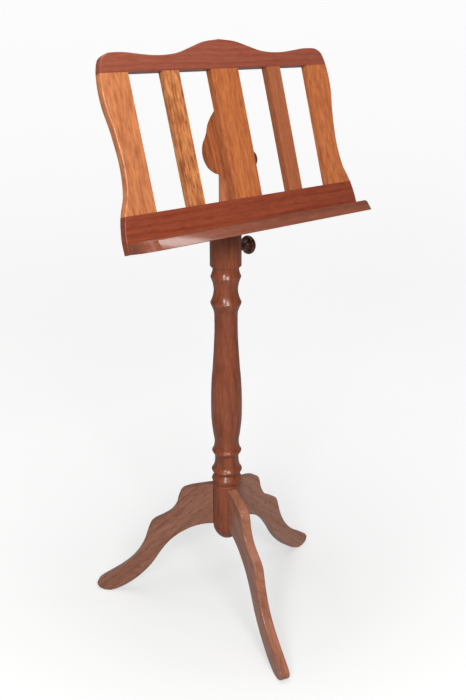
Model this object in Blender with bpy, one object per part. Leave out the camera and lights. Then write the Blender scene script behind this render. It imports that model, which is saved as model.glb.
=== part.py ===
"""A wooden music stand: a turned column on three cabriole legs, a sliding and
turning pole, and a slatted desk that tilts on a bracket. Metres, +Z up, the desk
faces -Y, and the floor is z = 0."""

import math

import bmesh
import bpy
from mathutils import Matrix, Vector

MM = 0.001
FIT = 0.3 * MM                  # gap between neighbouring pieces

# ---- where the column stands under the middle of the whole stand
COLUMN_X = -0.00463
COLUMN_Y = 0.02449

# ---- column, heights above the floor
HUB_BOTTOM = 0.1415
HUB_RADIUS = 0.0265
COLUMN_TOP = 0.736
COLLAR_RADIUS = 0.0275
POLE_RADIUS = 0.011
BORE_DEPTH = 0.347
COLUMN_SIDES = 30

# ---- legs
LEG_YAW = (-108.6, 9.8, 131.0)  # degrees about the column, seen from above
LEG_NAMES = ("leg_front", "leg_right", "leg_left")
LEG_THICKNESS = 0.018
LEG_INNER = 0.0253               # from the column's axis to the leg's inner end
LEG_TOP = 0.257
LEG_FOOT = 0.172                 # underside of the leg where it meets the hub
LEG_ROUND = 0.0025
DOWEL_RADIUS = 0.004
LEG_DOWEL_HEIGHTS = (0.193, 0.234)
LEG_DOWEL_SPAN = (0.008, 0.046)  # from the axis, inner and outer end

# ---- pole and tilt block
POLE_BOTTOM = 0.400
POLE_TOP = 0.8415
PIVOT_HEIGHT = 0.857
BLOCK_TOP = 0.870
BLOCK_DEPTH = 0.024
SPIGOT_RADIUS = 0.006
SPIGOT_LENGTH = 0.026

# ---- desk: its own frame has the pivot at its origin, X to the right, Z up the
# slope and Y to the back; "rise" is measured from the bottom rail's top edge
DESK_TILT = math.radians(17.0)
DESK_OFFSET = -0.0028            # the desk sits a little left of the pole
DESK_FRONT = -0.047              # front face, in front of the pivot
DESK_THICKNESS = 0.014
OPENING_HEIGHT = 0.206
PIVOT_RISE = 0.065
RAIL_BOTTOM_RISE = -0.0555
STILE_INNER = 0.1865
NARROW_SLAT_CENTRE = 0.107
NARROW_SLAT_WIDTH = 0.030
CENTRE_SLAT_WIDTH = 0.0565
TENON_LENGTH = 0.012
TENON_THICKNESS = 0.006
STILE_DOWEL_RADIUS = 0.003
STILE_DOWEL_LENGTH = 0.036

# ---- ledge
LEDGE_TOP_RISE = -0.0395
LEDGE_REACH = 0.047              # how far its lower edge stands out from the rail
LEDGE_DROP = 0.0024              # its underside slopes down towards the front by this
LEDGE_RAKE = 0.008               # its front face leans back by this much
LEDGE_HALF_WIDTH = 0.250
LEDGE_CORNER = 0.028
LEDGE_SCREW_X = (-0.200, -0.067, 0.067, 0.200)

# ---- bracket
CHEEK_THICKNESS = 0.012
CHEEK_INNER = POLE_RADIUS + FIT
CHEEK_BLIND = 0.0087             # depth of the stud's hole in the left cheek
CHEEK_DOWEL_RISES = (0.060, 0.118)

# ---- screws and knobs
CLAMP_HEIGHT = 0.7095
KNOB_LENGTH = 0.034
TILT_NECK = 0.006                # the tilt knob has a neck longer by this
KNOB_RADIUS = 0.0165
CLAMP_SCREW_RADIUS = 0.004
TILT_BOLT_RADIUS = 0.003
INSERT_RADIUS = 0.006


# ------------------------------------------------------------------ helpers

def clear_scene():
    for item in list(bpy.data.objects):
        bpy.data.objects.remove(item, do_unlink=True)


def material(name, colour, roughness, metallic=0.0):
    made = bpy.data.materials.new(name)
    made.use_nodes = True
    shader = made.node_tree.nodes["Principled BSDF"]
    shader.inputs["Base Color"].default_value = (*colour, 1.0)
    shader.inputs["Roughness"].default_value = roughness
    shader.inputs["Metallic"].default_value = metallic
    return made


def empty(name, parent=None, location=(0, 0, 0), turn=(0, 0, 0)):
    made = bpy.data.objects.new(name, None)
    made.location = location
    made.rotation_euler = turn
    made.parent = parent
    bpy.context.collection.objects.link(made)
    return made


def add_object(name, work, finish, parent=None, location=(0, 0, 0), turn=(0, 0, 0)):
    """Turns a bmesh into a named object, smooth except across sharp edges."""
    bmesh.ops.recalc_face_normals(work, faces=work.faces)
    mesh = bpy.data.meshes.new(name)
    work.to_mesh(mesh)
    work.free()
    mesh.shade_smooth()
    mesh.set_sharp_from_angle(angle=math.radians(35))
    mesh.materials.append(finish)
    made = bpy.data.objects.new(name, mesh)
    made.location = location
    made.rotation_euler = turn
    made.parent = parent
    bpy.context.collection.objects.link(made)
    return made


def smooth_line(points, steps=4):
    """A Catmull-Rom curve through the points, as a list of (a, b) pairs."""
    ends = [points[0]] + list(points) + [points[-1]]
    line = []
    for p0, p1, p2, p3 in zip(ends, ends[1:], ends[2:], ends[3:]):
        for step in range(steps):
            t = step / steps
            line.append(tuple(
                0.5 * (2 * b + (c - a) * t + (2 * a - 5 * b + 4 * c - d) * t * t
                       + (3 * b - a - 3 * c + d) * t ** 3)
                for a, b, c, d in zip(p0, p1, p2, p3)
            ))
    line.append(tuple(points[-1]))
    return line


def part_of(line, low, high):
    """The stretch of a rising line between two heights (its second value)."""
    def at(height):
        for (a0, b0), (a1, b1) in zip(line, line[1:]):
            if b0 <= height <= b1:
                share = (height - b0) / (b1 - b0)
                return (a0 + (a1 - a0) * share, height)
        return None
    inside = [p for p in line if low + 0.5 < p[1] < high - 0.5]
    return [at(low)] + inside + [at(high)]


def arc(centre_a, centre_b, radius, start, end, steps):
    return [
        (centre_a + radius * math.cos(math.radians(start + (end - start) * k / steps)),
         centre_b + radius * math.sin(math.radians(start + (end - start) * k / steps)))
        for k in range(steps + 1)
    ]


def lathe(profile, sides):
    """Turns (radius, height) pairs about Z; a radius of 0 closes the end."""
    work = bmesh.new()
    rings = []
    for radius, height in profile:
        if radius == 0:
            rings.append([work.verts.new((0, 0, height))])
            continue
        angles = [2 * math.pi * k / sides for k in range(sides)]
        rings.append([
            work.verts.new((radius * math.cos(a), radius * math.sin(a), height))
            for a in angles
        ])
    for low, high in zip(rings, rings[1:]):
        for k in range(sides):
            corners = [low[k % len(low)], low[(k + 1) % len(low)],
                       high[(k + 1) % len(high)], high[k % len(high)]]
            work.faces.new(list(dict.fromkeys(corners)))
    return work


def plate(outline, near, far):
    """Extrudes a closed (x, z) outline along Y from near to far."""
    work = bmesh.new()
    front = [work.verts.new((a, near, b)) for a, b in outline]
    back = [work.verts.new((a, far, b)) for a, b in outline]
    work.faces.new(front)
    work.faces.new(back)
    for k in range(len(outline)):
        after = (k + 1) % len(outline)
        work.faces.new((front[k], front[after], back[after], back[k]))
    return work


def rod(radius, start, end, sides=10):
    """A plain round rod between two points."""
    work = bmesh.new()
    start, end = Vector(start), Vector(end)
    bmesh.ops.create_cone(
        work, cap_ends=True, segments=sides, radius1=radius, radius2=radius,
        depth=(end - start).length,
    )
    turn = Vector((0, 0, 1)).rotation_difference(end - start).to_matrix().to_4x4()
    bmesh.ops.transform(work, verts=work.verts,
                        matrix=Matrix.Translation((start + end) / 2) @ turn)
    return work


def block(low, high):
    work = bmesh.new()
    size = [b - a for a, b in zip(low, high)]
    middle = [(a + b) / 2 for a, b in zip(low, high)]
    bmesh.ops.create_cube(work, size=1.0,
                          matrix=Matrix.Translation(middle) @ Matrix.Diagonal((*size, 1)))
    return work


def cut(target, name, work, parent=None):
    """Cuts a shape out of the target with a hidden cutter object."""
    bmesh.ops.recalc_face_normals(work, faces=work.faces)
    mesh = bpy.data.meshes.new(name)
    work.to_mesh(mesh)
    work.free()
    cutter = bpy.data.objects.new(name, mesh)
    cutter.parent = parent
    cutter.hide_render = True
    cutter.display_type = "WIRE"
    bpy.context.collection.objects.link(cutter)
    boolean = target.modifiers.new(name, "BOOLEAN")
    boolean.operation = "DIFFERENCE"
    boolean.object = cutter


def round_edges(target, width, segments=1):
    bevel = target.modifiers.new("rounded edges", "BEVEL")
    bevel.width = width
    bevel.segments = segments
    bevel.limit_method = "ANGLE"
    bevel.angle_limit = math.radians(50)


def millimetres(points):
    return [(a * MM, b * MM) for a, b in points]


# ------------------------------------------------------------------ finishes

clear_scene()
COLUMN_WOOD = material("column wood", (0.23, 0.075, 0.032), 0.35)
LEG_WOOD = material("leg wood", (0.21, 0.085, 0.045), 0.40)
SLAT_WOOD = material("slat wood", (0.50, 0.18, 0.055), 0.38)
RAIL_WOOD = material("rail wood", (0.26, 0.07, 0.03), 0.35)
KNOB_WOOD = material("knob wood", (0.045, 0.018, 0.012), 0.30)
DOWEL_WOOD = material("dowel wood", (0.62, 0.45, 0.27), 0.60)
BRASS = material("brass", (0.72, 0.50, 0.20), 0.30, 1.0)
STEEL = material("steel", (0.55, 0.55, 0.55), 0.30, 1.0)

stand = empty("column_axis", location=(COLUMN_X, COLUMN_Y, 0))


# ------------------------------------------------------------------ column

def ring(crest_radius, crest, neck_radius, drop=9.0):
    """One turned ring below a neck: a hollow flare out to a crisp crest, then a
    rounded underside. Heights in millimetres, running downwards."""
    spread = crest_radius - neck_radius
    return [
        (neck_radius + 0.45 * spread, crest + 5.0),
        (crest_radius - 0.4, crest + 1.0),
        (crest_radius, crest),
        (crest_radius - 0.8, crest - 2.6),
        (neck_radius + 0.30 * spread, crest - drop + 2.2),
    ]


def column_profile():
    """The outside from the top down, then up the bore, in millimetres."""
    collar = COLLAR_RADIUS / MM
    hub = HUB_RADIUS / MM
    top = COLUMN_TOP / MM
    bore = (POLE_RADIUS + FIT) / MM
    outside = [(bore + 0.8, top), (collar - 1.2, top), (collar, top - 1.2),
               (collar, 684.0), (collar - 0.5, 681.8), (collar - 2.2, 680.2),
               (23.6, 679.0), (23.3, 673.0)]
    outside += [(23.9, 667.5)] + ring(26.9, 662.5, 23.4, drop=7.0)[1:4] + [(24.0, 655.5)]
    outside += smooth_line([(23.4, 652.5), (21.6, 643.0), (21.3, 637.0), (22.9, 628.0),
                            (25.2, 621.0)], 2)
    outside += [(27.2, 616.3), (27.4, 615.2), (26.6, 612.6), (24.9, 608.5)]
    outside += smooth_line([(23.4, 605.0), (21.1, 597.0), (20.7, 586.0), (20.8, 564.0),
                            (21.7, 541.0), (24.6, 495.0), (26.7, 472.0), (28.1, 440.0),
                            (28.3, 410.0), (27.5, 388.0), (24.8, 364.0), (22.9, 353.0),
                            (22.7, 346.0)], 2)
    outside += ring(27.3, 329.0, 22.4)
    outside += [(22.6, 319.0), (22.0, 313.0)]
    outside += ring(28.5, 290.0, 22.6)
    outside += [(23.6, 281.5)] + ring(28.3, 270.0, 24.0, drop=8.0)
    outside += [(hub + 0.1, 261.0), (hub, 257.5), (hub, 172.4), (hub - 0.9, 171.4),
                (hub - 0.1, 170.4)]
    outside += smooth_line([(hub - 0.3, 167.5), (hub - 2.8, 159.0), (hub - 9.0, 149.5),
                            (hub - 17.5, 143.3)], 2)
    outside += [(0, HUB_BOTTOM / MM)]
    inside = [(0, (COLUMN_TOP - BORE_DEPTH) / MM), (bore, (COLUMN_TOP - BORE_DEPTH) / MM),
              (bore, top - 0.8)]
    return millimetres(outside[::-1]), millimetres(inside)


def make_column():
    outside, inside = column_profile()
    work = lathe(outside + inside[::-1], COLUMN_SIDES)
    column = add_object("column", work, COLUMN_WOOD, stand)
    for name, yaw in zip(LEG_NAMES, LEG_YAW):
        facing = empty(name + "_seat_axis", stand, turn=(0, 0, math.radians(yaw)))
        half = LEG_THICKNESS / 2 + FIT
        seat = block((LEG_INNER - FIT, -half, LEG_FOOT), (HUB_RADIUS + 0.01, half, LEG_TOP + FIT))
        cut(column, name + "_seat", seat, facing)
        for count, height in enumerate(LEG_DOWEL_HEIGHTS, 1):
            inner, outer = LEG_DOWEL_SPAN
            hole = rod(DOWEL_RADIUS + FIT, (inner - FIT, 0, height), (outer, 0, height))
            cut(column, f"{name}_hub_hole_{count}", hole, facing)
    screw_way = rod(CLAMP_SCREW_RADIUS + 0.6 * MM, (0, 0, CLAMP_HEIGHT),
                    (COLLAR_RADIUS + 0.01, 0, CLAMP_HEIGHT))
    cut(column, "clamp_screw_way", screw_way, stand)
    insert_pocket = rod(INSERT_RADIUS + FIT, (0.0148, 0, CLAMP_HEIGHT),
                        (COLLAR_RADIUS + 0.01, 0, CLAMP_HEIGHT), 16)
    cut(column, "clamp_insert_pocket", insert_pocket, stand)


# ------------------------------------------------------------------ legs

def leg_outline():
    """The cabriole outline as (distance from the axis, height)."""
    inner = LEG_INNER / MM
    top = smooth_line([(inner, LEG_TOP / MM), (48, 252.0), (70, 246.5), (86, 239.0),
                       (92.5, 227.5), (96, 213.0), (103, 199.0), (112, 188.0),
                       (126, 178.0), (142, 168.5), (151, 159.5), (156, 146.0),
                       (163, 125.0), (174, 102.0), (190, 79.5), (210, 60.0),
                       (232, 43.5), (250, 31.0)], 3)
    toe = smooth_line([(259.5, 23.5), (265, 15.0), (261, 5.5), (250, 0.0)], 3)
    sole = smooth_line([(238, 0.0), (225, 5.0), (205, 17.0), (183, 34.5), (162, 56.0),
                        (146, 77.0), (132, 100.0), (118, 120.0), (103, 136.0),
                        (86, 149.5), (66, 161.5), (44, 169.5),
                        (inner, LEG_FOOT / MM + 0.3)], 3)
    return millimetres(top + toe + sole)


def make_legs():
    outline = leg_outline()
    for name, yaw in zip(LEG_NAMES, LEG_YAW):
        turn = (0, 0, math.radians(yaw))
        work = plate(outline, -LEG_THICKNESS / 2, LEG_THICKNESS / 2)
        leg = add_object(name, work, LEG_WOOD, stand, turn=turn)
        round_edges(leg, LEG_ROUND)
        facing = empty(name + "_axis", stand, turn=turn)
        inner, outer = LEG_DOWEL_SPAN
        for count, height in enumerate(LEG_DOWEL_HEIGHTS, 1):
            hole = rod(DOWEL_RADIUS + FIT, (inner, 0, height), (outer + FIT, 0, height))
            cut(leg, f"{name}_hole_{count}", hole, facing)
            pin = rod(DOWEL_RADIUS, (inner, 0, height), (outer, 0, height))
            add_object(f"{name}_dowel_{count}", pin, DOWEL_WOOD, stand, turn=turn)


# ------------------------------------------------------------------ pole

def make_pole():
    radius = POLE_RADIUS
    sleeve = SPIGOT_RADIUS + FIT
    profile = [(0, POLE_BOTTOM), (radius - 0.001, POLE_BOTTOM),
               (radius, POLE_BOTTOM + 0.001), (radius, POLE_TOP - 0.0005),
               (radius - 0.0005, POLE_TOP), (sleeve, POLE_TOP),
               (sleeve, POLE_TOP - SPIGOT_LENGTH - 0.001),
               (0, POLE_TOP - SPIGOT_LENGTH - 0.001)]
    add_object("pole", lathe(profile, 24), COLUMN_WOOD, stand)


def make_tilt_block():
    """A square block with a rounded top; its spigot turns in the pole's end."""
    foot = POLE_TOP + FIT
    half = BLOCK_DEPTH / 2
    bend = arc(0, BLOCK_TOP - half, half, 0, 180, 12)
    outline = [(-half, foot), (half, foot)] + bend
    work = plate(outline, -POLE_RADIUS, POLE_RADIUS)
    bmesh.ops.transform(work, verts=work.verts, matrix=Matrix.Rotation(math.pi / 2, 4, "Z"))
    tilt_block = add_object("tilt_block", work, COLUMN_WOOD, stand)
    spigot_work = rod(SPIGOT_RADIUS, (0, 0, POLE_TOP - SPIGOT_LENGTH), (0, 0, foot + 0.002), 16)
    spigot = add_object("spigot_shape", spigot_work, COLUMN_WOOD, stand)
    spigot.hide_render = True
    spigot.display_type = "WIRE"
    union = tilt_block.modifiers.new("spigot", "BOOLEAN")
    union.operation = "UNION"
    union.object = spigot
    hole = rod(TILT_BOLT_RADIUS + 0.1 * MM, (-0.03, 0, PIVOT_HEIGHT), (0.03, 0, PIVOT_HEIGHT), 24)
    cut(tilt_block, "pivot_hole", hole, stand)


# ------------------------------------------------------------------ desk

pivot = empty("tilt_axis", stand, (0, 0, PIVOT_HEIGHT), (-DESK_TILT, 0, 0))


def rise(value):
    """A rise above the bottom rail's top edge, as a height in the desk's frame."""
    return value - PIVOT_RISE


def desk_points(points):
    """Outline points, in millimetres across and of rise, in the desk's frame."""
    return [(a * MM + DESK_OFFSET, rise(b * MM)) for a, b in points]


def side_line():
    """The desk's right edge from bottom to top: half width against rise."""
    return smooth_line([(250, -55.5), (249.6, -30), (243.3, 2), (231.8, 32),
                        (227.2, 72), (230.4, 120), (236.4, 158), (237.2, 184),
                        (234.9, 206.4), (231.0, 220.5)], 4)


def crest_line():
    """The scalloped top edge from the right corner to the middle."""
    corner = [(226.4, 228.4), (217, 233.8)]
    return corner + smooth_line([(207, 235.4), (186, 235.4), (160, 232.6), (134, 230.2),
                                 (108, 230.4), (84, 233.6), (58, 241.4), (32, 249.0),
                                 (0, 252.5)], 3)


def mirrored(points):
    return [(-a, b) for a, b in points[::-1]]


def desk_board(name, outline, finish):
    back = DESK_FRONT + DESK_THICKNESS
    return add_object(name, plate(desk_points(outline), DESK_FRONT, back), finish, pivot)


def make_frame():
    opening = OPENING_HEIGHT / MM
    inner = STILE_INNER / MM
    gap = FIT / MM
    side = side_line()
    low_side = part_of(side, -55.5, -gap)
    bottom = desk_board("desk_bottom_rail", mirrored(low_side) + low_side, RAIL_WOOD)
    top_side = part_of(side, opening + gap, 220)
    crest = top_side + crest_line()
    top = desk_board("desk_top_rail", crest + mirrored(crest)[1:], RAIL_WOOD)
    stile_side = part_of(side, 0, opening)
    stiles = {}
    for name, sign in (("stile_left", -1), ("stile_right", 1)):
        outline = [(sign * inner, 0)] + [(sign * a, b) for a, b in stile_side]
        outline += [(sign * inner, opening)]
        stiles[name] = desk_board(name, outline, SLAT_WOOD)
    middle = DESK_FRONT + DESK_THICKNESS / 2
    for name, sign in (("stile_left", -1), ("stile_right", 1)):
        for end, height, rail, across in (("bottom", 0.0, bottom, (203, 226)),
                                          ("top", OPENING_HEIGHT, top, (200, 220))):
            for count, place in enumerate(across, 1):
                x = sign * place * MM + DESK_OFFSET
                half = STILE_DOWEL_LENGTH / 2
                if end == "top":
                    half = 0.6 * half
                low = (x, middle, rise(height) - half)
                high = (x, middle, rise(height) + half)
                label = f"{name}_{end}_dowel_{count}"
                longer = Vector((0, 0, FIT))
                for target, tag in ((stiles[name], "stile"), (rail, "rail")):
                    hole = rod(STILE_DOWEL_RADIUS + FIT, Vector(low) - longer,
                               Vector(high) + longer)
                    cut(target, f"{label}_{tag}_hole", hole, pivot)
                add_object(label, rod(STILE_DOWEL_RADIUS, low, high), DOWEL_WOOD, pivot)
    return bottom, top


def slat_work(centre, width, grow=0.0):
    """A slat with a stub tenon at each end, as a stack of upright rectangles."""
    middle = DESK_FRONT + DESK_THICKNESS / 2
    body = (width / 2, DESK_THICKNESS / 2)
    tenon = (width / 2 - 0.004 + grow, TENON_THICKNESS / 2 + grow)
    low, high = rise(0.0), rise(OPENING_HEIGHT)
    reach = TENON_LENGTH + grow
    stack = [(tenon, low - reach), (tenon, low), (body, low),
             (body, high), (tenon, high), (tenon, high + reach)]
    work = bmesh.new()
    rings = []
    for (half_x, half_y), height in stack:
        corners = ((-1, -1), (1, -1), (1, 1), (-1, 1))
        rings.append([
            work.verts.new((centre + a * half_x, middle + b * half_y, height))
            for a, b in corners
        ])
    work.faces.new(rings[0])
    work.faces.new(rings[-1])
    for lower, upper in zip(rings, rings[1:]):
        for k in range(4):
            work.faces.new((lower[k], lower[(k + 1) % 4], upper[(k + 1) % 4], upper[k]))
    return work


def make_slats(bottom, top):
    slats = (("slat_left", -NARROW_SLAT_CENTRE, NARROW_SLAT_WIDTH),
             ("slat_centre", 0.0, CENTRE_SLAT_WIDTH),
             ("slat_right", NARROW_SLAT_CENTRE, NARROW_SLAT_WIDTH))
    middle = DESK_FRONT + DESK_THICKNESS / 2
    made = {}
    for name, across, width in slats:
        centre = across + DESK_OFFSET
        made[name] = add_object(name, slat_work(centre, width), SLAT_WOOD, pivot)
        half = width / 2 - 0.004 + FIT
        thick = TENON_THICKNESS / 2 + FIT
        for rail, tag, mouth, sign in ((bottom, "bottom", rise(0.0), -1),
                                       (top, "top", rise(OPENING_HEIGHT), 1)):
            ends = sorted((mouth - sign * 0.002, mouth + sign * (TENON_LENGTH + FIT)))
            pocket = block((centre - half, middle - thick, ends[0]),
                           (centre + half, middle + thick, ends[1]))
            cut(rail, f"{name}_{tag}_mortise", pocket, pivot)
    return made["slat_centre"]


# ------------------------------------------------------------------ ledge

def ledge_ring(reach, half_width, corner):
    """The ledge's outline seen from above, as (x, y) in the desk's frame."""
    back = DESK_FRONT - FIT
    front = DESK_FRONT - reach
    right = arc(half_width - corner, front + corner, corner, 0, -90, 8)
    outline = [(half_width, back)] + right
    outline += [(-a, b) for a, b in outline[::-1]]
    return [(a + DESK_OFFSET, b) for a, b in outline]


def make_ledge(rail):
    lower = ledge_ring(LEDGE_REACH, LEDGE_HALF_WIDTH, LEDGE_CORNER)
    upper = ledge_ring(LEDGE_REACH - LEDGE_RAKE, LEDGE_HALF_WIDTH - 0.0008,
                       LEDGE_CORNER - 0.002)
    work = bmesh.new()
    low = []
    for a, b in lower:
        drop = LEDGE_DROP * (DESK_FRONT - b) / LEDGE_REACH
        low.append(work.verts.new((a, b, rise(RAIL_BOTTOM_RISE) - drop)))
    high = [work.verts.new((a, b, rise(LEDGE_TOP_RISE))) for a, b in upper]
    work.faces.new(low)
    work.faces.new(high)
    for k in range(len(low)):
        after = (k + 1) % len(low)
        work.faces.new((low[k], low[after], high[after], high[k]))
    ledge = add_object("ledge", work, RAIL_WOOD, pivot)
    round_edges(ledge, 1.2 * MM)
    height = rise((RAIL_BOTTOM_RISE + LEDGE_TOP_RISE) / 2)
    back = DESK_FRONT + DESK_THICKNESS
    for count, place in enumerate(LEDGE_SCREW_X, 1):
        x = place + DESK_OFFSET
        head = back - 0.0022
        shank = [(0, 0), (0.0035, 0), (0.0035, 0.0012), (0.0018, 0.003),
                 (0.0018, 0.030), (0, 0.0325)]
        place_screw = Matrix.Translation((x, head, height)) @ Matrix.Rotation(math.pi / 2, 4, "X")
        screw = lathe(shank, 12)
        bmesh.ops.transform(screw, verts=screw.verts, matrix=place_screw)
        add_object(f"ledge_screw_{count}", screw, BRASS, pivot)
        for target, tag in ((rail, "rail"), (ledge, "ledge")):
            way = lathe([(0, -0.006), (0.0038, -0.006), (0.0038, 0.0014),
                         (0.0021, 0.0032), (0.0021, 0.0302), (0, 0.0329)], 12)
            bmesh.ops.transform(way, verts=way.verts, matrix=place_screw)
            cut(target, f"ledge_screw_{count}_{tag}_hole", way, pivot)


# ------------------------------------------------------------------ bracket

def cheek_outline():
    """The bracket's ogee outline as (distance behind the front face, rise)."""
    slat_back = (DESK_THICKNESS + FIT) / MM
    return ([(slat_back, 27.0)]
            + smooth_line([(22.5, 29.8), (31, 36.5), (40, 44.2), (50, 48.8), (61, 55.5),
                           (70, 66.0), (74.6, 80.0), (73.2, 92.0), (68.4, 102.0),
                           (60.0, 110.4), (54.2, 116.6), (50.6, 123.0), (45.0, 130.6),
                           (34.0, 139.4), (22.0, 146.4)], 3)
            + [(slat_back, 150.0)])


def make_bracket(slat):
    outline = [(DESK_FRONT + a * MM, rise(b * MM)) for a, b in cheek_outline()]
    for name, sign in (("bracket_cheek_left", -1), ("bracket_cheek_right", 1)):
        faces = sorted((sign * CHEEK_INNER, sign * (CHEEK_INNER + CHEEK_THICKNESS)))
        work = plate([(b, a) for a, b in outline], *faces)
        # the outline was laid out as (height, depth): turn it so X is across
        for vert in work.verts:
            height, across, depth = vert.co
            vert.co = (across, depth, height)
        cheek = add_object(name, work, RAIL_WOOD, pivot)
        deep = 0.04 if sign > 0 else CHEEK_INNER + CHEEK_BLIND
        hole = rod(TILT_BOLT_RADIUS + 0.1 * MM, (0, 0, 0), (sign * deep, 0, 0), 16)
        cut(cheek, name + "_bolt_hole", hole, pivot)
        middle = sign * (CHEEK_INNER + CHEEK_THICKNESS / 2)
        for count, place in enumerate(CHEEK_DOWEL_RISES, 1):
            start = (middle, DESK_FRONT + 0.0045, rise(place))
            end = (middle, DESK_FRONT + 0.028, rise(place))
            for target, tag in ((slat, "slat"), (cheek, "cheek")):
                hole = rod(0.003 + FIT, Vector(start) - Vector((0, FIT, 0)),
                           Vector(end) + Vector((0, FIT, 0)))
                cut(target, f"{name}_dowel_{count}_{tag}_hole", hole, pivot)
            add_object(f"{name}_dowel_{count}", rod(0.003, start, end), DOWEL_WOOD, pivot)


# ------------------------------------------------------------------ knobs

def along_x(work, start, height=0.0):
    """Lays a shape turned about Z along +X, from the given distance."""
    place = Matrix.Translation((start, 0, height)) @ Matrix.Rotation(math.pi / 2, 4, "Y")
    bmesh.ops.transform(work, verts=work.verts, matrix=place)
    return work


def knob_profile(extra):
    """A turned knob: a flared neck under a mushroom head, bored for its thread. The
    neck can be longer by an extra length."""
    radius = KNOB_RADIUS / MM
    length = KNOB_LENGTH / MM
    bore = (INSERT_RADIUS + FIT) / MM
    profile = [(0.0, 16.0), (bore, 16.0), (bore, 0.0), (8.2, 0.0), (8.8, 0.8)]
    neck = smooth_line([(8.4, 3.0), (7.4, 8.0), (8.0, 13.0), (10.4, 17.4)], 2)
    stretch = 1 + extra / MM / 17.4
    profile += [(a, b * stretch) for a, b in neck]
    head = smooth_line([(radius - 2.2, 18.6), (radius - 0.2, 20.8), (radius, 23.4),
                        (radius - 1.2, 26.8), (radius - 5.0, 30.8), (6.0, 33.2),
                        (0.0, length)], 2)
    profile += [(a, b + extra / MM) for a, b in head]
    return millimetres(profile)


def make_knob(name, start, extra, parent):
    work = along_x(lathe(knob_profile(extra), 20), start)
    return add_object(name, work, KNOB_WOOD, parent)


def tube(outer, inner, length, sides=16):
    """A plain bush about Z from 0 to its length."""
    work = bmesh.new()
    rings = []
    for radius, height in ((outer, 0), (outer, length), (inner, length), (inner, 0)):
        rings.append([
            work.verts.new((radius * math.cos(2 * math.pi * k / sides),
                            radius * math.sin(2 * math.pi * k / sides), height))
            for k in range(sides)
        ])
    for low, high in zip(rings, rings[1:] + rings[:1]):
        for k in range(sides):
            after = (k + 1) % sides
            work.faces.new((low[k], low[after], high[after], high[k]))
    return work


def make_clamp():
    insert = tube(INSERT_RADIUS, CLAMP_SCREW_RADIUS + 0.2 * MM, 0.0122)
    add_object("clamp_insert", along_x(insert, 0.0151, CLAMP_HEIGHT), BRASS, stand)
    axis = empty("clamp_axis", stand, (0, 0, CLAMP_HEIGHT))
    pad_face = POLE_RADIUS + FIT
    pad = rod(CLAMP_SCREW_RADIUS, (pad_face, 0, 0), (pad_face + 0.0022, 0, 0), 16)
    add_object("clamp_pad", pad, BRASS, axis)
    knob_start = COLLAR_RADIUS + 0.0012
    screw = rod(CLAMP_SCREW_RADIUS - 0.1 * MM, (pad_face + 0.0025, 0, 0),
                (knob_start + 0.0155, 0, 0), 16)
    add_object("clamp_screw", screw, STEEL, axis)
    return axis, knob_start


def make_knobs():
    clamp_axis, clamp_start = make_clamp()
    tilt_start = CHEEK_INNER + CHEEK_THICKNESS + 0.0018
    for name, start, extra, parent, reach in (
            ("clamp_knob", clamp_start, 0.0, clamp_axis, CLAMP_SCREW_RADIUS),
            ("tilt_knob", tilt_start, TILT_NECK, pivot, TILT_BOLT_RADIUS)):
        make_knob(name, start, extra, parent)
        bush = tube(INSERT_RADIUS, reach + 0.2 * MM, 0.0152)
        add_object(name + "_insert", along_x(bush, start + 0.0002), BRASS, parent)


def make_tilt_bolt():
    """A headless stud: it is fixed in the left cheek, which it doesn't pass through."""
    outer = CHEEK_INNER + CHEEK_THICKNESS
    start = -CHEEK_INNER - CHEEK_BLIND + FIT
    stud = rod(TILT_BOLT_RADIUS, (start, 0, 0), (outer + 0.0018 + 0.0152, 0, 0), 16)
    add_object("tilt_bolt", stud, STEEL, pivot)
    washer = tube(0.0085, TILT_BOLT_RADIUS + 0.2 * MM, 0.0012)
    add_object("tilt_washer", along_x(washer, outer + FIT), STEEL, pivot)


make_column()
make_legs()
make_pole()
make_tilt_block()
bottom_rail, top_rail = make_frame()
centre_slat = make_slats(bottom_rail, top_rail)
make_ledge(bottom_rail)
make_bracket(centre_slat)
make_knobs()
make_tilt_bolt()
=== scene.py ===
# %% [markdown]
# # A wooden music stand
# This lesson dresses a finished joinery model: a turned column on three cabriole
# legs, a sliding pole, and a slatted desk that tilts on a bracket. The model is
# loaded first and never changed. Each visible part is then made again with finer
# edges and given its wood.

# %% Load the frame
import math

import bmesh
import bpy
from mathutils import Matrix, Vector


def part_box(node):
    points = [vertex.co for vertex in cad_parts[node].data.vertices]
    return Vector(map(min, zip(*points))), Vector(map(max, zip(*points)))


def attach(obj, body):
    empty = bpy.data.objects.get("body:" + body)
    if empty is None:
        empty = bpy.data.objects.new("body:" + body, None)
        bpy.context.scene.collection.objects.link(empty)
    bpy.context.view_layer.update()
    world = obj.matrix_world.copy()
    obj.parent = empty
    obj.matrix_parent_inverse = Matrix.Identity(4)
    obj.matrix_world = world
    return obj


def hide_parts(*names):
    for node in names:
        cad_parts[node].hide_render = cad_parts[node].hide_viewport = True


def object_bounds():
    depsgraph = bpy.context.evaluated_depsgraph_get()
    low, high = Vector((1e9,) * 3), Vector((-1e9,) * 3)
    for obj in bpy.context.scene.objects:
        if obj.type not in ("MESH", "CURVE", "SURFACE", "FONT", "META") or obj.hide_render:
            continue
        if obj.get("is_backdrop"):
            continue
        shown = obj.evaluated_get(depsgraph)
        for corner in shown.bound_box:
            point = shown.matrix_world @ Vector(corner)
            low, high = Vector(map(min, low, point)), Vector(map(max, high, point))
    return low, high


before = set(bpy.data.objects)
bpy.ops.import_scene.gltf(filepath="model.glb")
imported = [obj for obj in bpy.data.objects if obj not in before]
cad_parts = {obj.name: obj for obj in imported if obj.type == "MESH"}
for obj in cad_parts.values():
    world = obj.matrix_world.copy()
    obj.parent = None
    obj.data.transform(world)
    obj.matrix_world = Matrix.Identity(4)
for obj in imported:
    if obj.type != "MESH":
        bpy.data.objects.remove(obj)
cad_low, cad_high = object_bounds()

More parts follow.
